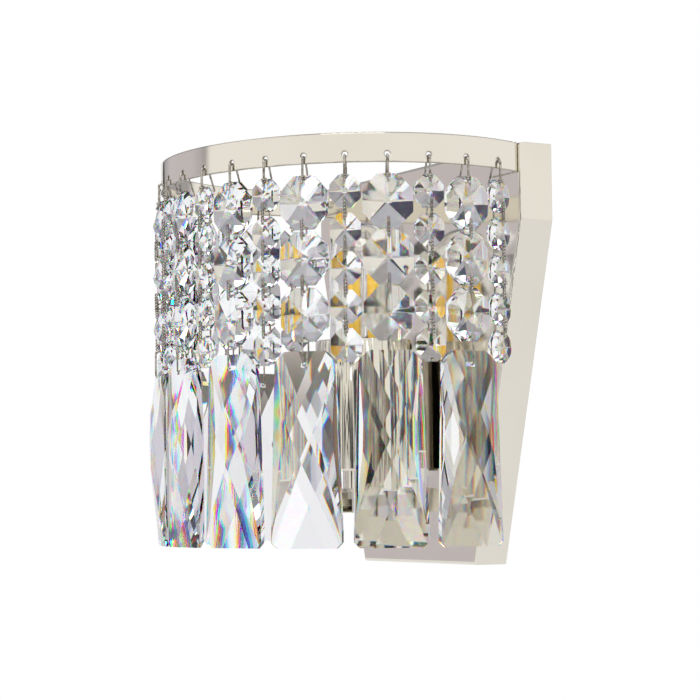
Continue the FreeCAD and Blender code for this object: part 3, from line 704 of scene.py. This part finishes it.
@dataclass
class ClipWire:
    """The bent wire that hangs crystals from the band and from one another."""

    radius: float = 0.4 * MM
    corner: float = 0.9 * MM
    corner_share: float = 0.45
    twist_radius: float = 0.52 * MM
    twist_wire: float = 0.30 * MM
    twist_turns: float = 3.5
    twist_steps: int = 30
    tuck: float = 0.3
    tuck_rate: float = 8.0
    above_hole: float = 2.8 * MM
    below_hole: float = 1.9 * MM
    curl_radius: float = 1.0 * MM
    curl_wire: float = 0.32 * MM
    curl_rise: float = 1.5 * MM
    curl_turns: int = 2
    curl_steps: int = 24
    bend_steps: int = 3

    def loop(self, corners: Sequence[tuple[float, float]]) -> list[Vector]:
        """Round the corners of a closed loop.

        Args:
            corners: (out, up) corners in the plane across the band.

        Returns:
            Points along the loop, in the strand's frame.
        """
        spots = []
        count = len(corners)
        for index in range(count):
            here = Vector(corners[index])
            before = Vector(corners[index - 1]) - here
            after = Vector(corners[(index + 1) % count]) - here
            cut = min(self.corner, self.corner_share * min(before.length, after.length))
            start, end = here + before.normalized() * cut, here + after.normalized() * cut
            for step in range(self.bend_steps + 1):
                share = step / self.bend_steps
                bend = start.lerp(here, share).lerp(here.lerp(end, share), share)
                spots.append(Vector((0.0, -bend.x, bend.y)))
        return spots

    def twist(self, out: float, top: float, foot: float) -> list[list[Vector]]:
        """Twist two wires about an upright line.

        Args:
            out: How far the line stands out from the middle of the crystals.
            top: The line's upper end.
            foot: The line's lower end.

        Returns:
            Two lists of points.
        """
        steps = self.twist_steps
        pair = []
        for side in (0, 1):
            spots = []
            for step in range(steps + 1):
                share = step / steps
                angle = math.pi * side + 2 * math.pi * self.twist_turns * share
                swell = self.twist_radius * min(1.0, self.tuck + self.tuck_rate * min(share, 1 - share))
                across, away = swell * math.cos(angle), swell * math.sin(angle)
                spots.append(Vector((across, -out - away, top + (foot - top) * share)))
            pair.append(spots)
        return pair

    def curl(self, out: float, foot: float) -> list[Vector]:
        """Wind the wire's end round the hook's front leg.

        Args:
            out: How far the leg stands out from the middle of the crystals.
            foot: The lowest turn's height.

        Returns:
            Points of the turns.
        """
        spots = []
        for step in range(self.curl_steps + 1):
            share = step / self.curl_steps
            angle = 2 * math.pi * self.curl_turns * share
            place = (self.curl_radius * math.cos(angle), -out - self.curl_radius * math.sin(angle))
            spots.append(Vector((*place, foot + self.curl_rise * share)))
        return spots


class WireCurve:
    """A curve object that gathers round wires."""

    def __init__(self, name: str, radius: float) -> None:
        """Start an empty curve.

        Args:
            name: The object's name.
            radius: The wires' radius at a thickness of 1.
        """
        self.data = bpy.data.curves.new(name, "CURVE")
        self.data.dimensions = "3D"
        self.data.bevel_depth = radius
        self.data.bevel_resolution = 2
        self.data.use_fill_caps = True
        self.name = name

    def wire(
        self, spots: Sequence[Vector], closed: bool, thickness: float | Callable[[Vector], float] = 1.0
    ) -> None:
        """Add one wire.

        Args:
            spots: The wire's points.
            closed: Whether the last point joins the first.
            thickness: The share of the wires' radius, or what gives it for a point.
        """
        line = self.data.splines.new("POLY")
        line.points.add(len(spots) - 1)
        for point, spot in zip(line.points, spots):
            point.co = (*spot, 1.0)
            point.radius = thickness(spot) if callable(thickness) else thickness
        line.use_cyclic_u = closed
        line.use_smooth = True

    def object(self) -> bpy.types.Object:
        """Put the curve into the scene."""
        return placed(self.name, self.data)


@dataclass
class HangingStrand:
    """One strand: a hook on the band, its octagons and links, and on every second one a pendant."""

    number: int
    wardrobe: Wardrobe
    bead: OctagonBead
    bead_mesh: bpy.types.Mesh
    clip: ClipWire = field(default_factory=ClipWire)
    hook_reach: float = 1.7 * MM
    hook_spread: float = 5.4 * MM
    link_half_width: float = 2.5 * MM
    pendant_link_half_width: float = 3.6 * MM
    leg_thickness: float = 1.35
    top_thickness: float = 1.15
    top_reach: float = 1.5 * MM
    front_share: float = 0.9
    tail_thickness: float = 1.2
    tail_rise: float = 2 * MM
    tail_gap: float = 0.2 * MM
    twist_lift: float = 0.4
    octagon_gap: float = 2 * MM

    @property
    def body(self) -> str:
        """The CAD body that the strand rides on."""
        return f"strand_{self.number:02d}"

    @property
    def has_pendant(self) -> bool:
        """Whether a pendant hangs below the octagons."""
        return self.number % 2 == 0

    def joint(self, name: str) -> dict[str, Any]:
        """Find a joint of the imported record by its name."""
        return next(joint for joint in frame["joints"] if joint["name"] == name)

    def place(self) -> Matrix:
        """Work out the strand's own frame.

        Returns:
            The frame, with X along the band, -Y outwards, Z up and its origin on the hook's pivot.
        """
        swing = self.joint(f"{self.body}_swing")
        along = -Vector(swing["axis"])
        inward = Vector((0, 0, 1)).cross(along)
        turn = Matrix((along, inward, Vector((0, 0, 1)))).transposed().to_4x4()
        return Matrix.Translation(swing["pos_m"]) @ turn

    def middles(self) -> list[float]:
        """Work out where the octagons hang.

        Returns:
            The heights of their middles in the strand's frame, from the top.
        """
        low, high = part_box(f"{self.body}_octagons")
        pivot = self.joint(f"{self.body}_swing")["pos_m"][2]
        first = high[2] - self.bead.height / 2 - pivot
        last = low[2] + self.bead.height / 2 - pivot
        solids = round((high[2] - low[2]) / (self.bead.height + self.octagon_gap))
        return [first + (last - first) * index / (solids - 1) for index in range(solids)]

    def build(self) -> None:
        """Build the strand's octagons and its clips."""
        middles = self.middles()
        self.octagons(middles)
        self.clips(middles)
        if self.has_pendant:
            self.wardrobe.dress(frame["nodes"][f"{self.body}_pendant"], PENDANT_CRYSTAL)
        pendant = " and a pendant" if self.has_pendant else ""
        log.info("%s: %d octagons, their clips%s", self.body, len(middles), pendant)

    def octagons(self, middles: Sequence[float]) -> None:
        """Hang the ground octagons in place of the plain ones.

        Args:
            middles: The heights of their middles.
        """
        mesh = bmesh.new()
        for middle in middles:
            before = len(mesh.verts)
            mesh.from_mesh(self.bead_mesh)
            mesh.verts.ensure_lookup_table()
            bmesh.ops.translate(mesh, vec=(0, 0, middle), verts=mesh.verts[before:])
        bmesh.ops.transform(mesh, matrix=self.place(), verts=mesh.verts)
        piece = new_object(f"{self.body}_cut_octagons", mesh)
        self.wardrobe.dress(piece, CRYSTAL)
        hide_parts(f"{self.body}_octagons")
        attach(piece, self.body)

    def clips(self, middles: Sequence[float]) -> None:
        """Bend the hook, the links and the pendant's link of round wire.

        Args:
            middles: The heights of the octagons' middles.
        """
        curve = WireCurve(f"{self.body}_wire_clips", self.clip.radius)
        reach = self.bead.height / 2 - self.bead.hole_inset
        first_hole = middles[0] + reach
        hook = [
            (self.hook_reach, 0.0), (self.hook_reach, first_hole),
            (-self.hook_spread, first_hole), (-self.hook_reach, 0.0),
        ]
        curve.wire(self.clip.loop(hook), True, self.hook_thickness)
        tail = [
            Vector((0, -self.hook_reach, first_hole + self.tail_rise)),
            Vector((0, -self.hook_reach - self.tail_gap, first_hole)),
            Vector((0, -self.lies_out(self.clip.below_hole), first_hole - self.clip.below_hole)),
        ]
        curve.wire(tail, False, self.tail_thickness)
        curl = self.clip.curl(self.hook_reach, first_hole + self.tail_gap)
        curve.wire(curl, False, self.clip.curl_wire / self.clip.radius)
        for upper, lower in zip(middles, middles[1:]):
            self.link(curve, upper - reach, lower + reach, self.link_half_width, True)
        if self.has_pendant:
            pivot = self.joint(f"pendant_{self.number:02d}_swing")["pos_m"][2]
            hole = pivot - self.place().translation.z
            self.link(curve, middles[-1] - reach, hole, self.pendant_link_half_width, False)
        piece = curve.object()
        piece.data.transform(self.place())
        self.wardrobe.dress(piece, WIRE)
        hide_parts(f"{self.body}_clips")
        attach(piece, self.body)

    def hook_thickness(self, spot: Vector) -> float:
        """Make the hook a little thick where it fills its hole, and thicker down its front leg.

        Args:
            spot: A point of the hook in the strand's frame.

        Returns:
            The thickness there, as a share of the wire's.
        """
        if spot.y < -self.hook_reach * self.front_share:
            return self.leg_thickness
        return self.top_thickness if spot.z > -self.top_reach else 1.0

    def lies_out(self, inward: float) -> float:
        """Say how far out a wire lies that rests on a crystal's face.

        Args:
            inward: How far the wire's end is from the hole, towards the crystal's middle.

        Returns:
            The distance from the crystal's middle plane.
        """
        share = (self.bead.hole_inset + inward) / (self.bead.height / 2)
        rise = self.bead.rim + (self.bead.thickness - self.bead.rim) * share
        return rise / 2 + self.clip.twist_wire + self.clip.twist_radius

    def link(self, curve: WireCurve, top: float, foot: float, half_width: float, twisted: bool) -> None:
        """Add a link between two holes.

        Args:
            curve: The strand's wires.
            top: The upper hole's height.
            foot: The lower hole's height.
            half_width: How far the link's legs stand from the crystals' middle.
            twisted: Whether the outer leg is closed by a twist of the two ends.
        """
        legs = [(half_width, top), (half_width, foot), (-half_width, foot), (-half_width, top)]
        curve.wire(self.clip.loop(legs), True)
        if twisted:
            lifted = half_width + self.clip.radius * self.twist_lift
            out = max(lifted, self.lies_out(self.clip.above_hole))
            for spots in self.clip.twist(out, top + self.clip.above_hole, foot - self.clip.below_hole):
                curve.wire(spots, False, self.clip.twist_wire / self.clip.radius)


# ----------------------------------------
# Fixture and lamp
# ----------------------------------------
@dataclass
class Fixture:
    """The metal parts that hang on the wall, kept as they were packed and given their finishes."""

    wardrobe: Wardrobe
    nickel: tuple[str, ...] = ("backplate_cover", "lamp_arm", "socket_cup", "cover_screws", "band_rivets")
    steel: tuple[str, ...] = ("wall_crossbar", "cup_nipple", "nipple_nut")

    def build(self) -> None:
        """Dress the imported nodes."""
        for node in self.nickel:
            self.wardrobe.dress(frame["nodes"][node], NICKEL)
        self.wardrobe.dress(frame["nodes"]["crystal_band"], BAND_NICKEL)
        for node in self.steel:
            self.wardrobe.dress(frame["nodes"][node], STEEL)
        self.wardrobe.dress(frame["nodes"]["lampholder"], PORCELAIN)
        nickel, steel = len(self.nickel) + 1, len(self.steel)
        log.info("fixture: %d nickel pieces, %d steel pieces, lampholder", nickel, steel)


@dataclass
class Lamp:
    """A clear tubular lamp with upright filaments on a glass stem."""

    wardrobe: Wardrobe
    glass: float = 0.8 * MM
    neck_height: float = 13.0 * MM
    neck_inset: float = 3.9 * MM
    neck_bend: float = 6.0 * MM
    neck_bend_height: float = 1.5 * MM
    neck_turn: tuple[float, float] = (180.0, 140.0)
    neck_steps: int = 4
    shoulder_inset: float = 0.6 * MM
    shoulder_drop: float = 2.2 * MM
    steps: int = 48
    dome_steps: int = 12
    stem_steps: int = 24
    filament_count: int = 4
    filament_radius: float = 1.6 * MM
    filament_taper: float = 0.55
    ring_radius: float = 6.5 * MM
    filament_rise: float = 16.5 * MM
    filament_length: float = 34.0 * MM
    first_turn: float = math.radians(27.0)
    stem_radius: float = 2.0 * MM
    flare_radius: float = 8.5 * MM
    flare_height: float = 12.4 * MM
    flare: tuple[tuple[float, float], ...] = ((0.72, 0.25), (0.42, 0.6))
    stem_over: float = 1.2 * MM
    support_radius: float = 0.3 * MM
    support_turn: float = 1.2 * MM
    support_gap: float = 0.4 * MM

    def __post_init__(self) -> None:
        """Read the lamp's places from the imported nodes."""
        low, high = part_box("lamp_envelope")
        self.radius = (high[0] - low[0]) / 2
        self.foot = low[2]
        self.top = high[2]
        self.centre = Vector(((high[0] + low[0]) / 2, (high[1] + low[1]) / 2, self.foot))
        self.neck_radius = self.radius - self.neck_inset

    def build(self) -> None:
        """Build envelope, stem, supports and filaments, and dress the cap."""
        self.envelope()
        self.stem()
        self.filaments()
        self.supports()
        self.wardrobe.dress(frame["nodes"]["lamp_base"], CAP)
        log.info("lamp: envelope, stem, %d filaments, supports, cap", self.filament_count)

    def ride(self, piece: bpy.types.Object, finish: Finish) -> None:
        """Dress a piece and let it ride on the lamp.

        Args:
            piece: The piece.
            finish: Its finish.
        """
        self.wardrobe.dress(piece, finish)
        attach(piece, "lamp")

    def envelope(self) -> None:
        """Blow the envelope: a neck, a straight tube and a round dome."""
        height = self.top - self.foot
        inner = self.radius - self.glass
        dome = height - self.radius
        outside = [(self.neck_radius, 0.0)]
        bend = (self.neck_radius + self.neck_bend, self.neck_bend_height)
        outside += arc(bend, self.neck_bend, *self.neck_turn, self.neck_steps)
        outside.append((self.radius - self.shoulder_inset, self.neck_height - self.shoulder_drop))
        below_tube = len(outside)
        outside.append((self.radius, self.neck_height))
        outside += arc((0.0, dome), self.radius, 0, ALMOST_UPRIGHT, self.dome_steps)
        inside = [(radius - self.glass, up) for radius, up in outside[:below_tube]]
        inside += arc((0.0, dome), inner, 0, ALMOST_UPRIGHT, self.dome_steps)
        piece = lathe("lamp_tube", outside + inside[::-1], self.steps, self.centre)
        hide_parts("lamp_envelope")
        self.ride(piece, LAMP_GLASS)

    def stem(self) -> None:
        """Draw the flared glass stem up the middle."""
        tip = self.filament_rise + self.filament_length + self.stem_over - self.stem_radius
        profile = [(0.0, 0.0), (self.flare_radius, 0.0)]
        profile += [(self.flare_radius * out, self.flare_height * up) for out, up in self.flare]
        profile += [(self.stem_radius, self.flare_height), (self.stem_radius, tip)]
        profile += arc((0.0, tip), self.stem_radius, 10, 90, 5)
        piece = lathe("lamp_stem", profile, self.stem_steps, self.centre)
        self.ride(piece, LAMP_GLASS)

    def spots(self) -> list[Vector]:
        """List where the filaments stand round the stem.

        Returns:
            Their places, from the lamp's axis.
        """
        step = 2 * math.pi / self.filament_count
        turns = [self.first_turn + step * index for index in range(self.filament_count)]
        return [self.ring_radius * Vector((math.cos(turn), math.sin(turn), 0)) for turn in turns]

    def filaments(self) -> None:
        """Stand the coated filaments upright round the stem."""
        curve = WireCurve("lamp_filament_strips", self.filament_radius)
        for spot in self.spots():
            foot = self.centre + spot + Vector((0, 0, self.filament_rise))
            end = self.filament_radius
            levels = (0.0, end, self.filament_length / 2, self.filament_length - end, self.filament_length)
            spots = [foot + Vector((0, 0, level)) for level in levels]
            top = spots[-1].z

            def thickness(here: Vector) -> float:
                """Taper a filament at its two ends."""
                return self.filament_taper if min(here.z - foot.z, top - here.z) < end / 2 else 1.0

            curve.wire(spots, False, thickness)
        piece = curve.object()
        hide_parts("lamp_filaments")
        self.ride(piece, PHOSPHOR)

    def supports(self) -> None:
        """Bend the support wires from the stem to the filaments' ends."""
        curve = WireCurve("lamp_support_wires", self.support_radius)
        for spot in self.spots():
            top = self.filament_rise + self.filament_length + self.support_gap
            for level, towards in ((self.filament_rise - self.support_gap, 1), (top, -1)):
                height = Vector((0, 0, level))
                inner = self.centre + spot * (self.stem_radius / self.ring_radius) + height
                outer = self.centre + spot + height
                turned = outer + Vector((0, 0, self.support_turn * towards))
                curve.wire([inner, inner.lerp(outer, 0.5), outer, turned], False)
        self.ride(curve.object(), WIRE)


# ----------------------------------------
# Studio
# ----------------------------------------
@dataclass(frozen=True)
class StudioCard:
    """A bright or dark card of the studio, as the sconce sees it from where it hangs."""

    azimuth: float
    elevation: float
    width: float
    height: float
    colour: Colour
    edge: float = 3.0

    def mask(self, tree: ShaderTree, level: Shade, rise: Shade) -> Shade:
        """Work out where the card shows.

        Args:
            tree: The world's tree.
            level: The horizontal direction, of length 1.
            rise: The elevation in degrees.

        Returns:
            1 on the card and 0 off it.
        """
        turn = math.radians(self.azimuth)
        facing = (math.sin(turn), -math.cos(turn), 0.0)
        towards = tree.dot(level, facing)
        off = tree.add("ShaderNodeMath", {"operation": "ARCCOSINE"}, {0: towards}) * math.degrees(1.0)
        above = tree.add("ShaderNodeMath", {"operation": "ABSOLUTE"}, {0: rise - self.elevation})
        across = 1.0 - tree.ramp(off, self.width / 2 - self.edge / 2, self.width / 2 + self.edge / 2)
        up = 1.0 - tree.ramp(above, self.height / 2 - self.edge / 2, self.height / 2 + self.edge / 2)
        return across * up


DARK_STRIPES = (
    (-34.0, 10.0), (-13.0, 12.0), (9.0, 9.0), (27.0, 10.0), (47.0, 16.0), (73.0, 15.0), (103.0, 10.0),
)
DARK_CARDS = tuple(
    StudioCard(azimuth, -7.0, width, 19.0, (0.02, 0.02, 0.025), 1.5) for azimuth, width in DARK_STRIPES
)


@dataclass
class Studio:
    """Plain floor, soft lamps, cards, and a white background for the camera."""

    wall_grey: Colour = (0.42, 0.41, 0.43)
    floor_level: float = -1.2
    floor_radius: float = 6.0
    floor_colour: Colour = (0.93, 0.93, 0.92)
    floor_white: float = 0.8
    floor_sides: int = 96
    lamp_side: float = 1.4
    cards: tuple[StudioCard, ...] = (
        StudioCard(0.0, 90.0, 360.0, 60.0, (0.90, 0.90, 0.90), 10.0),
        StudioCard(45.0, 14.0, 170.0, 22.0, (1.0, 0.99, 0.97), 6.0),
        StudioCard(130.0, 0.0, 100.0, 80.0, (1.0, 0.99, 0.97), 12.0),
        StudioCard(-67.0, 2.0, 40.0, 30.0, (0.65, 0.61, 0.66), 18.0),
        StudioCard(-120.0, 6.0, 46.0, 26.0, (0.90, 0.89, 0.90), 6.0),
        StudioCard(-120.0, -11.0, 70.0, 9.0, (0.12, 0.11, 0.09), 3.0),
        StudioCard(-97.0, 20.0, 18.0, 14.0, (0.02, 0.02, 0.05), 2.0),
        StudioCard(-150.0, 24.0, 24.0, 12.0, (0.06, 0.05, 0.05), 3.0),
        StudioCard(60.0, 44.0, 120.0, 16.0, (0.03, 0.03, 0.05), 4.0),
        StudioCard(-90.0, 42.0, 70.0, 16.0, (0.04, 0.04, 0.08), 4.0),
        StudioCard(40.0, -6.0, 180.0, 19.0, (1.0, 0.97, 0.90), 3.0),
        *DARK_CARDS,
        StudioCard(-97.0, 4.0, 5.0, 10.0, (0.04, 0.03, 0.03), 2.0),
        StudioCard(150.0, -5.0, 10.0, 15.0, (0.08, 0.08, 0.08), 1.5),
    )

    def build(self) -> None:
        """Build the world, the floor and the lamps."""
        self.world()
        self.floor()
        self.lamp("key_light", Vector((1.3, -1.1, 1.5)), power=22.0)
        self.lamp("fill_light", Vector((-0.9, -1.3, 1.9)), power=9.0)
        bpy.context.scene.view_settings.view_transform = "Standard"
        log.info("studio: world, floor, two lamps")

    def world(self) -> None:
        """Surround the sconce with cards, and show the camera plain white."""
        made = bpy.data.worlds.new("studio")
        bpy.context.scene.world = made
        made.use_nodes = True
        tree = ShaderTree(made.node_tree)
        direction = tree.add("ShaderNodeTexCoord", {}, {}, "Generated")
        inputs = {0: direction, 1: (1.0, 1.0, 0.0)}
        flat = tree.add("ShaderNodeVectorMath", {"operation": "MULTIPLY"}, inputs)
        level = tree.add("ShaderNodeVectorMath", {"operation": "NORMALIZE"}, {0: flat})
        upward = tree.add("ShaderNodeSeparateXYZ", {}, {0: direction}, "Z")
        rise = tree.add("ShaderNodeMath", {"operation": "ARCSINE"}, {0: upward}) * math.degrees(1.0)
        colour: Shade | Colour = self.wall_grey
        for card in self.cards:
            colour = tree.blend(card.mask(tree, level, rise), colour, card.colour)
        seen = tree.add("ShaderNodeLightPath", {}, {}, "Is Camera Ray")
        colour = tree.blend(seen, colour, (1.0, 1.0, 1.0))
        shining = tree.add("ShaderNodeBackground", {}, {"Color": colour, "Strength": 1.0})
        tree.finish(shining, "ShaderNodeOutputWorld")

    def floor(self) -> None:
        """Lay a plain pale floor well below the sconce."""
        mesh = bmesh.new()
        bmesh.ops.create_circle(mesh, cap_ends=True, segments=self.floor_sides, radius=self.floor_radius)
        bmesh.ops.translate(mesh, vec=(0, 0, self.floor_level), verts=mesh.verts)
        floor = new_object("studio_floor", mesh)
        made = bpy.data.materials.new("pale_floor")
        made.use_nodes = True
        tree = ShaderTree(made.node_tree)
        inputs = {"Base Color": (*self.floor_colour, 1.0), "Roughness": 0.9, "Specular IOR Level": 0.1}
        lit = tree.add("ShaderNodeBsdfPrincipled", {}, inputs)
        white = tree.add("ShaderNodeEmission", {}, {"Color": (1.0, 1.0, 1.0, 1.0), "Strength": 1.0})
        seen = tree.add("ShaderNodeLightPath", {}, {}, "Is Camera Ray")
        mirrored = tree.add("ShaderNodeLightPath", {}, {}, "Is Glossy Ray")
        through = tree.add("ShaderNodeLightPath", {}, {}, "Is Transmission Ray")
        share = (seen + mirrored + through) * self.floor_white
        tree.finish(tree.add("ShaderNodeMixShader", {}, {0: share, 1: lit, 2: white}))
        floor.data.materials.append(made)

    def lamp(self, name: str, spot: Vector, power: float) -> None:
        """Hang a square soft lamp that faces the sconce.

        Args:
            name: The lamp's name.
            spot: Where it hangs.
            power: Its power in watts.
        """
        light = bpy.data.lights.new(name, "AREA")
        light.shape = "SQUARE"
        light.size = self.lamp_side
        light.energy = power
        lamp = placed(name, light)
        lamp.location = spot
        lamp.rotation_euler = (-spot).to_track_quat("-Z", "Y").to_euler()


@dataclass
class Viewpoint:
    """The camera at the photograph's angle."""

    spot: Vector = field(default_factory=lambda: Vector((883.81, -562.49, -60.05)) * MM)
    azimuth: float = 59.957
    rise: float = 3.7
    roll: float = -0.621
    focal_pixels: float = 2232.5
    sensor: float = 36.0

    def build(self) -> None:
        """Make the camera and set it as the scene's."""
        data = bpy.data.cameras.new("photo_camera")
        data.sensor_fit = "HORIZONTAL"
        data.sensor_width = self.sensor
        data.lens = self.focal_pixels / IMAGE_SIDE * self.sensor
        data.clip_start = 0.01
        data.clip_end = 100.0
        camera = placed("photo_camera", data)
        turn, rise, roll = (math.radians(angle) for angle in (self.azimuth, self.rise, self.roll))
        forward = Vector((
            -math.sin(turn) * math.cos(rise), math.cos(turn) * math.cos(rise), math.sin(rise),
        ))
        level = Vector((math.cos(turn), math.sin(turn), 0.0))
        upright = level.cross(forward)
        right = math.cos(roll) * level + math.sin(roll) * upright
        up = math.cos(roll) * upright - math.sin(roll) * level
        axes = Matrix((right, up, -forward)).transposed().to_4x4()
        camera.matrix_world = Matrix.Translation(self.spot) @ axes
        bpy.context.scene.camera = camera
        log.info("camera: lens %.1f mm", data.lens)


def main() -> None:
    """Build the studio and dress every sub-assembly of the sconce."""
    logging.basicConfig(level=logging.INFO, format="%(name)s: %(message)s")
    Viewpoint().build()
    Studio().build()
    wardrobe = Wardrobe()
    Fixture(wardrobe).build()
    Lamp(wardrobe).build()
    small = OctagonBead(
        width=13.2 * MM, height=14.0 * MM, thickness=6.4 * MM, rim=1.6 * MM, hole_inset=1.5 * MM
    )
    large = OctagonBead(
        width=21.4 * MM, height=22.8 * MM, thickness=9.2 * MM, rim=2.0 * MM, hole_inset=1.7 * MM
    )
    meshes = {bead.width: bead.mesh() for bead in (small, large)}
    strands = sum(1 for body in frame["bodies"] if body.startswith("strand_"))
    for number in range(1, strands + 1):
        bead = small if number % 2 else large
        HangingStrand(number, wardrobe, bead, meshes[bead.width]).build()


if __name__ == "__main__":
    main()
